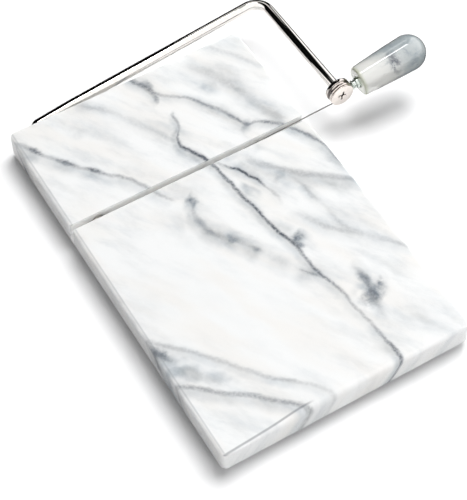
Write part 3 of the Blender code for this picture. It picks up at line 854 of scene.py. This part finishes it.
# Soft patches: (x, y, half-length, half-width, turn in degrees, how strong).
DARK_PATCHES = [
    (23.0, -22.0, 4.6, 3.0, 30, 0.80),
    (21.5, -25.5, 3.0, 2.2, -60, 0.80),
    (35.5, -65.5, 7.5, 4.8, 25, 0.74),
    (36.6, -56.0, 6.5, 2.2, -85, 0.50),
    (41.0, -61.5, 3.2, 2.2, 60, 0.70),
    (-8.2, 21.3, 3.2, 2.4, -60, 0.70),
    (-9.8, 1.5, 6.5, 2.6, -68, 0.42),
    (-10.8, 8.0, 4.5, 1.8, -88, 0.34),
    (-4.0, -7.5, 3.4, 1.8, -50, 0.50),
    (3.2, -17.5, 2.8, 1.4, -60, 0.45),
    (-57.0, 86.0, 2.6, 1.6, -50, 0.50),
    (-48.5, 72.0, 2.8, 1.6, -50, 0.45),
    (-38.5, 61.0, 2.8, 1.6, -50, 0.50),
    (37.0, 47.5, 4.2, 2.0, 35, 0.34),
    (8.0, 94.0, 3.4, 2.4, -60, 0.50),
    (5.5, 60.5, 4.0, 2.0, 40, 0.34),
    (-60.8, -44.0, 5.0, 2.2, -62, 0.70),
]
TINT_PATCHES = [
    (-54.5, 76.5, 7.0, 3.6, -55, 0.50),
    (-36.0, 55.0, 9.0, 3.0, -50, 0.26),
    (-33.0, 83.5, 8.0, 4.5, -45, 0.22),
    (34.5, 78.0, 8.5, 5.5, -50, 0.46),
    (45.0, 69.0, 6.0, 3.6, -60, 0.42),
    (5.0, 57.5, 5.0, 3.4, 40, 0.60),
    (22.0, 34.5, 14.0, 3.6, -12, 0.36),
    (36.0, 46.0, 5.0, 4.0, 20, 0.50),
    (18.0, 12.5, 6.5, 3.2, -62, 0.48),
    (35.5, 11.0, 9.0, 6.5, -50, 0.50),
    (28.0, 24.0, 6.0, 4.0, -50, 0.36),
    (41.0, 0.0, 6.5, 4.0, -70, 0.40),
    (23.0, -21.5, 6.0, 4.5, -20, 0.55),
    (35.5, -63.0, 8.5, 7.0, 20, 0.60),
    (-58.0, -55.0, 14.0, 8.5, -52, 0.62),
    (-47.0, -66.0, 12.0, 4.6, -44, 0.36),
    (-20.0, 9.0, 15.0, 8.0, -75, 0.16),
    (-12.5, 0.0, 11.0, 4.5, -65, 0.34),
    (-4.0, 30.0, 9.0, 7.0, -60, 0.10),
    (48.0, -86.0, 16.0, 10.0, -45, 0.10),
    (21.0, -13.0, 7.0, 3.4, -65, 0.30),
    (-4.5, -8.0, 8.0, 4.4, -55, 0.34),
]
CLEAN_PATCH = (-22.0, -42.0, 62.0, 40.0, -60, 0.85)     # where the stone is nearly plain white

STREAK_TURN = math.radians(-60.0)   # most veins run this way across the board
VEIN_DRIFT = 0.6                    # sideways drift of the veins for each millimetre of depth
WHITE_STONE = lit(247, 248, 248)
WARM_STONE = lit(245, 244, 242)
GREY_STONE = lit(178, 182, 184)
BLUE_STONE = lit(164, 175, 184)
SLATE = lit(92, 98, 108)
INK = lit(100, 112, 124)
# Grey of the shade painted where the front and left bevels start.
EDGE_SHADE_GREY = lit(132, 136, 142)
GROOVE_LIGHT_STONE = (0.96, 0.96, 0.95, 1.0)  # painted light on the groove's unpolished faces, paler than the stone
LEFT_SHADE_LINE_X = 1.5 - HALF_WIDTH / MM   # where the left bevel's painted shade line runs, in millimetres
GRIP_CREAM = lit(236, 236, 232)
GRIP_BLUE = lit(168, 178, 182)
GRIP_GREY = lit(168, 174, 176)
GRIP_STREAK = lit(140, 150, 158)
GRIP_BLOT = lit(80, 86, 98)
GRIP_TINGE = lit(196, 202, 172)
# Dark colour for the hub: tarnish with painted shade in the wire's track, a painted dark reflection on the
# back rim, painted shade in the screw's recess.
TARNISH_AND_SHADE = (0.06, 0.05, 0.05, 1.0)


def along_streaks(x, y):
    """Board coordinates to (distance along the veins' main run, distance across it)."""
    c, s = math.cos(STREAK_TURN), math.sin(STREAK_TURN)
    return c * x + s * y, -s * x + c * y


def vein_layers(g, along, across, vein):
    """Darkness of one vein's core and tint of its halo at a point."""
    route, strengths = [], []
    for x, y, strength in vein.points:
        t, v = along_streaks(x, y)
        route.append((t, v))
        strengths.append((t, strength))
    offset = g.math("SUBTRACT", across, g.curve(along, route))
    strength = g.curve(along, strengths)
    core = g.remap(g.math("ABSOLUTE", offset), 0.0, vein.core * 2.0, vein.dark, 0.0)
    halo = g.remap(g.apart(offset, vein.lean), vein.halo * 0.2, vein.halo * 1.8, vein.tint, 0.0)
    return g.times(core, strength), g.times(halo, strength)


def patch_layer(g, place, patch):
    """Strength of one soft-edged patch at a point on the board's top."""
    x, y, long, wide, turn, strength = patch
    local = g.frame(place, (x, y, 0.0), (0.0, 0.0, math.radians(turn)), (long, wide, 1.0))
    return g.remap(g.vector("LENGTH", local), 0.15, 1.35, strength, 0.0)


def strongest(g, place, patches):
    """The strongest of several patches at a point."""
    layer = 0.0
    for patch in patches:
        layer = g.most(layer, patch_layer(g, place, patch))
    return layer


def strayed(g, place, source, scale, detail, reach):
    """A place moved by noise, by up to about half the reach each way."""
    drift = g.vector("SUBTRACT", g.noise(source, scale, detail, 0.6, output="Color"), (0.5, 0.5, 0.5))
    made = g.node("ShaderNodeVectorMath", drift, operation="SCALE")
    g.put(made, Scale=reach)
    return g.vector("ADD", place, made.outputs["Vector"])


def painted_edge_shade(g, place):
    """Painted shade: thin grey lines where the hand-ground bevels start, in front and along the left."""
    x, y, z = g.split(place)
    front = [(at / MM, (rounding - HALF_LENGTH) / MM) for at, rounding in FRONT_ROUNDING]
    ahead = g.remap(g.apart(y, g.curve(x, front)), 0.15, 0.85, 0.62, 0.0)
    ahead = g.times(ahead, g.remap(x, -21.0, -15.0, 1.0, 0.0))
    aside = g.remap(g.apart(x, LEFT_SHADE_LINE_X), 0.1, 0.7, 0.34, 0.0)
    on_top = g.remap(z, THICK / MM - 1.2, THICK / MM - 0.8)
    return g.times(g.most(ahead, aside), on_top)


def painted_groove_light(g, place, depth):
    """Where the groove's unpolished faces are, painted paler to stand in for light inside the groove."""
    half_groove = GROOVE_WIDTH / MM / 2
    aside = g.apart(g.split(place)[1], GROOVE_Y / MM)
    return g.times(g.remap(aside, half_groove + 0.02, half_groove + 0.2, 0.8, 0.0), g.remap(depth, 0.25, 0.8))


def board_marble():
    """White marble with grey-blue veins that run through the slab."""
    g = Graph("board_marble")
    stone_place = g.millimetres(BOARD)
    x, y, z = g.split(stone_place)
    depth = g.math("SUBTRACT", THICK / MM, z)
    x = g.math("ADD", x, g.times(depth, VEIN_DRIFT))
    solid = g.join(x, y, g.times(depth, 0.3))
    place = g.vector("MULTIPLY", solid, (1.0, 1.0, 0.0))

    bent = strayed(g, place, solid, 0.08, 2.0, 3.2)
    flat = g.vector("MULTIPLY", strayed(g, bent, solid, 0.55, 3.0, 1.3), (1.0, 1.0, 0.0))
    along = g.vector("DOT_PRODUCT", flat, (math.cos(STREAK_TURN), math.sin(STREAK_TURN), 0.0))
    across = g.vector("DOT_PRODUCT", flat, (-math.sin(STREAK_TURN), math.cos(STREAK_TURN), 0.0))

    cores, halos = 0.0, 0.0
    for vein in VEINS:
        core, halo = vein_layers(g, along, across, vein)
        cores = g.most(cores, core)
        halos = g.most(halos, halo)
    darks = strongest(g, strayed(g, place, solid, 0.16, 3.0, 5.0), DARK_PATCHES)
    tints = strongest(g, strayed(g, place, solid, 0.07, 2.0, 6.0), TINT_PATCHES)

    streaked = g.join(g.times(along, 0.03), g.times(across, 0.10), g.times(depth, 0.02))
    clouds = g.remap(g.noise(streaked, 1.0, 5.0, 0.6), 0.42, 0.72, 0.0, 0.32)
    clouds = g.times(clouds, g.math("SUBTRACT", 1.0, patch_layer(g, place, CLEAN_PATCH)))
    patchy = g.remap(g.noise(solid, 0.7, 3.0, 0.65), 0.30, 0.62, 0.55, 1.2)
    mottle = g.remap(g.noise(solid, 0.2, 4.0, 0.6), 0.28, 0.66, 0.75, 1.12)
    speckle = g.remap(g.noise(solid, 0.45, 3.0, 0.6), 0.30, 0.62, 0.7, 1.15)

    stone = g.mix(g.remap(g.noise(streaked, 0.7), 0.4, 0.65), WHITE_STONE, WARM_STONE)
    veil = g.math("ADD", g.times(g.most(halos, tints), 1.2), clouds)
    tinted = g.mix(g.remap(g.noise(streaked, 1.7), 0.35, 0.65), GREY_STONE, BLUE_STONE)
    stone = g.mix(g.times(veil, mottle, clamp=True), stone, tinted)
    stone = g.mix(g.times(darks, speckle, clamp=True), stone, INK)
    stone = g.mix(g.times(cores, patchy, clamp=True), stone, SLATE)
    # Painted light on the groove's faces.
    stone = g.mix(painted_groove_light(g, stone_place, depth), stone, GROOVE_LIGHT_STONE)
    # Painted shade along the start of the front and left bevels.
    stone = g.mix(painted_edge_shade(g, stone_place), stone, EDGE_SHADE_GREY)

    crystals = g.noise(stone_place, 2.2, 4.0, 0.7)
    g.set(Base_Color=stone, Roughness=g.remap(crystals, 0.3, 0.7, 0.26, 0.38),
          Normal=g.bump(crystals, 0.03, 0.0001), IOR=1.5,
          Subsurface_Weight=0.75, Subsurface_Radius=(1.0, 0.98, 0.96), Subsurface_Scale=0.004)
    return g.material


def handle_marble():
    """The grip's stone: cream at the hub end, soft blue-grey further out, a dark blot between."""
    g = Graph("handle_marble")
    place = g.millimetres(HANDLE_AXIS)
    moved = strayed(g, place, place, 0.16, 3.0, 6.0)
    x, y, z = g.split(moved)
    slanted = g.math("ADD", x, g.times(y, 0.55))
    grey = g.remap(slanted, 17.0, 33.0)
    veil = g.remap(g.noise(moved, 0.12, 3.0, 0.55), 0.36, 0.62, 0.72, 1.0)
    stone = g.mix(g.times(grey, veil), GRIP_CREAM, GRIP_BLUE)
    flank = g.times(g.remap(y, 1.0, 6.5), g.remap(g.noise(place, 0.35, 3.0), 0.35, 0.6))
    stone = g.mix(g.times(flank, 0.55), stone, GRIP_GREY)
    grain = g.join(g.times(slanted, 0.5), g.times(y, 0.12), z)
    streaks = g.remap(g.noise(grain, 0.5, 4.0, 0.6), 0.50, 0.70, 0.0, 0.5)
    stone = g.mix(g.times(streaks, g.remap(x, 18.0, 26.0)), stone, GRIP_STREAK)
    from_blot = g.vector("MULTIPLY", g.vector("SUBTRACT", moved, (28.5, -5.5, 6.5)), (1.25, 0.55, 0.6))
    near_blot = g.remap(g.vector("LENGTH", from_blot), 1.0, 5.0, 1.0, 0.0)
    blots = g.remap(g.noise(place, 0.34, 4.0, 0.65), 0.36, 0.56)
    stone = g.mix(g.times(g.times(near_blot, blots), 0.9), stone, GRIP_BLOT)
    tinge = g.remap(g.split(place)[0], 10.2, 12.6, 0.8, 0.0)
    stone = g.mix(tinge, stone, GRIP_TINGE)
    g.set(Base_Color=stone, Roughness=g.remap(g.noise(place, 0.9), 0.3, 0.7, 0.05, 0.10),
          Normal=g.bump(g.noise(place, 0.6), 0.02, 0.0002), IOR=1.6,
          Coat_Weight=1.0, Coat_Roughness=0.03, Coat_IOR=1.6)
    return g.material


# ==== other materials
def metal(g, place, bright, dull, polish, ripple):
    """Bright plating: a slightly uneven polish over metal; returns its colour and its roughness."""
    uneven = g.noise(place, 0.5, 3.0, 0.6)
    g.set(Normal=g.bump(uneven, ripple, 0.0002), Metallic=1.0)
    colour = g.mix(g.remap(uneven, 0.35, 0.65), (*bright, 1.0), (*dull, 1.0))
    return colour, g.remap(g.noise(place, 4.0), 0.3, 0.7, *polish)


def zinc_plating():
    """Pale greenish zinc on the stud, the insert and the barrel."""
    g = Graph("zinc")
    bright, dull = (0.74, 0.80, 0.75), (0.93 * 0.74, 0.93 * 0.80, 0.93 * 0.75)
    colour, rough = metal(g, g.millimetres(ARM), bright, dull, (0.18, 0.3), 0.05)
    g.set(Base_Color=colour, Roughness=rough)
    return g.material


def hub_plating():
    """Warm bright plating, with tarnish and painted shade in the wire's track, a painted dark reflection on
    the back rim, and painted shade in the screw's recess.
    """
    g = Graph("hub_chrome")
    place = g.millimetres(HUB_AXIS)
    colour, rough = metal(g, place, (0.88, 0.81, 0.76), (0.80, 0.74, 0.69), (0.05, 0.10), 0.03)
    x, y, z = g.split(place)
    radius = g.vector("LENGTH", g.join(0.0, y, z))
    streak_breaks = g.remap(g.noise(place, 0.25, 3.0, 0.6), 0.36, 0.52, 0.2, 1.0)
    track = g.remap(g.math("ABSOLUTE", x), 0.8, 1.2, 1.0, 0.0)
    back_rim = g.remap(x, HUB_BACK / MM - 0.9, HUB_BACK / MM - 0.6)
    rim = g.remap(radius, HUB_RADIUS / MM - 1.6, HUB_RADIUS / MM - 1.2)
    sunk = g.remap(x, SCREW_FACE / MM + 0.12, SCREW_FACE / MM + 0.7)
    recess = g.times(sunk, g.remap(radius, 2.9, 3.3, 1.0, 0.0))
    # Tarnish and painted shade in the track, a painted dark reflection on the back rim, painted shade in the
    # screw's recess; broken up by noise.
    tarnish_and_shade = g.most(g.times(g.times(g.most(track, back_rim), rim), streak_breaks), recess)
    g.set(Base_Color=g.mix(g.times(tarnish_and_shade, 0.85), colour, TARNISH_AND_SHADE), Roughness=rough)
    return g.material


def rod_plating():
    """Bright plating on the rod, ground dull where it turns inside the board."""
    g = Graph("rod_chrome")
    place = g.millimetres(ARM)
    colour, rough = metal(g, place, (0.90, 0.87, 0.84), (0.84, 0.81, 0.78), (0.03, 0.06), 0.02)
    x, y = g.split(place)[:2]
    inside = g.times(g.remap(y, HALF_LENGTH / MM - 3.0, HALF_LENGTH / MM, 1.0, 0.0),
                     g.remap(x, 6.0, 12.0, 1.0, 0.0))
    g.set(Base_Color=colour, Roughness=g.math("ADD", rough, g.times(inside, 0.5)))
    return g.material


def drawn_steel():
    """Drawn wire: fine scratches along its length."""
    g = Graph("wire_steel")
    scratches = g.noise(g.vector("MULTIPLY", g.millimetres(ARM), (0.3, 6.0, 6.0)), 1.0, 3.0)
    colour = g.mix(scratches, (0.26, 0.25, 0.24, 1.0), (0.7 * 0.26, 0.7 * 0.25, 0.7 * 0.24, 1.0))
    g.set(Base_Color=colour, Roughness=g.remap(scratches, 0.3, 0.7, 0.22, 0.4), Metallic=1.0)
    return g.material


def moulded(name, colour, shade, roughness):
    """Moulded nylon or rubber: a faint mottle and a matt, finely pitted skin."""
    g = Graph(name)
    place = g.millimetres(ARM)
    mottle = g.noise(place, 0.8, 3.0, 0.6)
    pits = g.noise(place, 7.0)
    g.set(Base_Color=g.mix(g.remap(mottle, 0.3, 0.7), colour, shade),
          Roughness=g.remap(pits, 0.3, 0.7, roughness - 0.08, roughness + 0.08),
          Normal=g.bump(pits, 0.15, 0.0001))
    return g.material


# ==== studio
def plain(name, colour, strength=0.0):
    """A stage material: matt, or glowing where strength is above zero."""
    made = bpy.data.materials.new(name)
    made.use_nodes = True
    shader = made.node_tree.nodes["Principled BSDF"]
    shader.inputs["Base Color"].default_value = colour
    shader.inputs["Roughness"].default_value = 0.9
    shader.inputs["Specular IOR Level"].default_value = 0.0
    shader.inputs["Emission Color"].default_value = (1.0, 1.0, 1.0, 1.0)
    shader.inputs["Emission Strength"].default_value = strength
    return made


def make_floor():
    """The pale table top, large enough to fill every view."""
    shape = bmesh.new()
    bmesh.ops.create_grid(shape, x_segments=4, y_segments=4, size=3.0)
    floor = piece("floor", shape, Matrix.Identity(4), plain("floor_white", (0.87, 0.87, 0.875, 1.0)))


def direction(azimuth, elevation):
    """Unit vector from the object; azimuth 0 is +Y and 90 is +X, in degrees."""
    a, e = math.radians(azimuth), math.radians(elevation)
    return Vector((math.sin(a) * math.cos(e), math.cos(a) * math.cos(e), math.sin(e)))


def dome_patch(azimuths, elevations, radius):
    """Rows of points on a dome round the object."""
    columns, rows = 24, 12
    grid = []
    turns = [azimuths[0] + (azimuths[1] - azimuths[0]) * step / columns for step in range(columns + 1)]
    for row in range(rows + 1):
        elevation = elevations[0] + (elevations[1] - elevations[0]) * row / rows
        grid.append([direction(azimuth, elevation) * radius for azimuth in turns])
    return grid


def level_patch(across, back, height):
    """Two rows of points at one height, between two places across and two places back."""
    return [[Vector((x, y, height)) for x in across] for y in back]


def make_card(name, grid, finish):
    """A card that only shows in glossy surfaces."""
    shape = bmesh.new()
    rows = [[shape.verts.new(point) for point in line] for line in grid]
    for low, high in zip(rows, rows[1:]):
        for left in range(len(low) - 1):
            shape.faces.new((low[left], low[left + 1], high[left + 1], high[left]))
    card = piece(name, shape, Matrix.Identity(4), finish)
    for ray in ("camera", "diffuse", "shadow", "transmission", "volume_scatter"):
        setattr(card, "visible_" + ray, False)


def make_lamp(name, place, size, power):
    """A soft round lamp aimed at the board's middle, that leaves no highlight."""
    data = bpy.data.lights.new(name, "AREA")
    data.shape = "DISK"
    data.size = size
    data.energy = power
    lamp = bpy.data.objects.new(name, data)
    lamp.location = place
    lamp.rotation_euler = (BOARD_ORIGIN - place).to_track_quat("-Z", "Y").to_euler()
    lamp.visible_glossy = False
    bpy.context.scene.collection.objects.link(lamp)


def make_world(strength):
    """Even white surroundings."""
    world = bpy.data.worlds.new("studio")
    world.use_nodes = True
    background = world.node_tree.nodes["Background"]
    background.inputs["Color"].default_value = (1.0, 1.0, 1.0, 1.0)
    background.inputs["Strength"].default_value = strength
    bpy.context.scene.world = world


def make_studio():
    """A high key lamp on the right, a broad side lamp, a weak fill in front, and the cards."""
    make_world(WORLD_STRENGTH)
    make_floor()
    for name, azimuth, elevation, distance, size, power in LAMPS:
        make_lamp(name, direction(azimuth, elevation) * distance, size, power)
    black = plain("card_black", (0.004, 0.004, 0.004, 1.0))
    white = plain("card_white", (0.0, 0.0, 0.0, 1.0), WHITE_CARD_GLOW)
    strip = plain("card_strip", (0.0, 0.0, 0.0, 1.0), STRIP_GLOW)
    # black cards: the dark room behind, and black sheets on the table right of and behind the board that
    # paint dark reflections of the table
    make_card("back_card", dome_patch((-62.0, 32.0), (-1.0, 66.0), 1.6), black)
    make_card("back_right_card", dome_patch((32.0, 47.0), (-1.0, 54.0), 1.6), black)
    make_card("table_right_card", level_patch((0.075, 1.5), (-0.5, 1.5), CARD_LIFT), black)
    make_card("table_back_card", level_patch((-0.4, 0.075), (0.125, 1.5), CARD_LIFT), black)
    # white cards: the bright room in front, a bright gap behind, and the strip light overhead
    make_card("front_card", dome_patch((47.0, 298.0), (8.0, 88.0), 1.8), white)
    make_card("gap_card", dome_patch((12.0, 30.0), (38.0, 50.0), 1.55), white)
    make_card("strip_card", level_patch((-0.22, 0.30), (0.30, 0.46), 1.5), strip)


def make_camera():
    """The camera at the fitted viewpoint, without shift or depth of field."""
    a, e, r = CAMERA_AZIMUTH, CAMERA_ELEVATION, CAMERA_ROLL
    back = Vector((math.sin(a) * math.cos(e), -math.cos(a) * math.cos(e), math.sin(e)))
    level = Vector((math.cos(a), math.sin(a), 0.0))
    upright = back.cross(level)
    right = math.cos(r) * level + math.sin(r) * upright
    up = math.cos(r) * upright - math.sin(r) * level
    data = bpy.data.cameras.new("camera")
    data.lens = CAMERA_LENS
    data.sensor_width = SENSOR
    data.clip_start = 0.01
    camera = bpy.data.objects.new("camera", data)
    place = Matrix((right, up, back)).transposed().to_4x4()
    place.translation = CAMERA_TARGET + back * CAMERA_DISTANCE
    camera.matrix_world = place
    bpy.context.scene.collection.objects.link(camera)
    bpy.context.scene.camera = camera


# ==== assembly
def main():
    """Build every piece, then the studio and the camera."""
    bpy.context.scene.view_settings.view_transform = "Standard"
    hub_chrome = hub_plating()
    zinc = zinc_plating()
    nylon = moulded("nylon", screen(232, 228, 214), screen(222, 216, 200), 0.5)
    rubber = moulded("foot_rubber", screen(226, 226, 222), screen(210, 210, 206), 0.62)

    make_slab(board_marble())
    make_sleeve("sleeve_rear", "rear_bush", nylon)
    make_sleeve("sleeve_front", "front_bush", nylon)
    make_feet(rubber)
    make_rod(rod_plating())
    make_wire(drawn_steel())
    make_barrel(zinc)
    make_hub(hub_chrome)
    make_screw(hub_chrome)
    make_stud(zinc)
    make_insert(zinc)
    make_grip(handle_marble())
    make_studio()
    make_camera()


main()
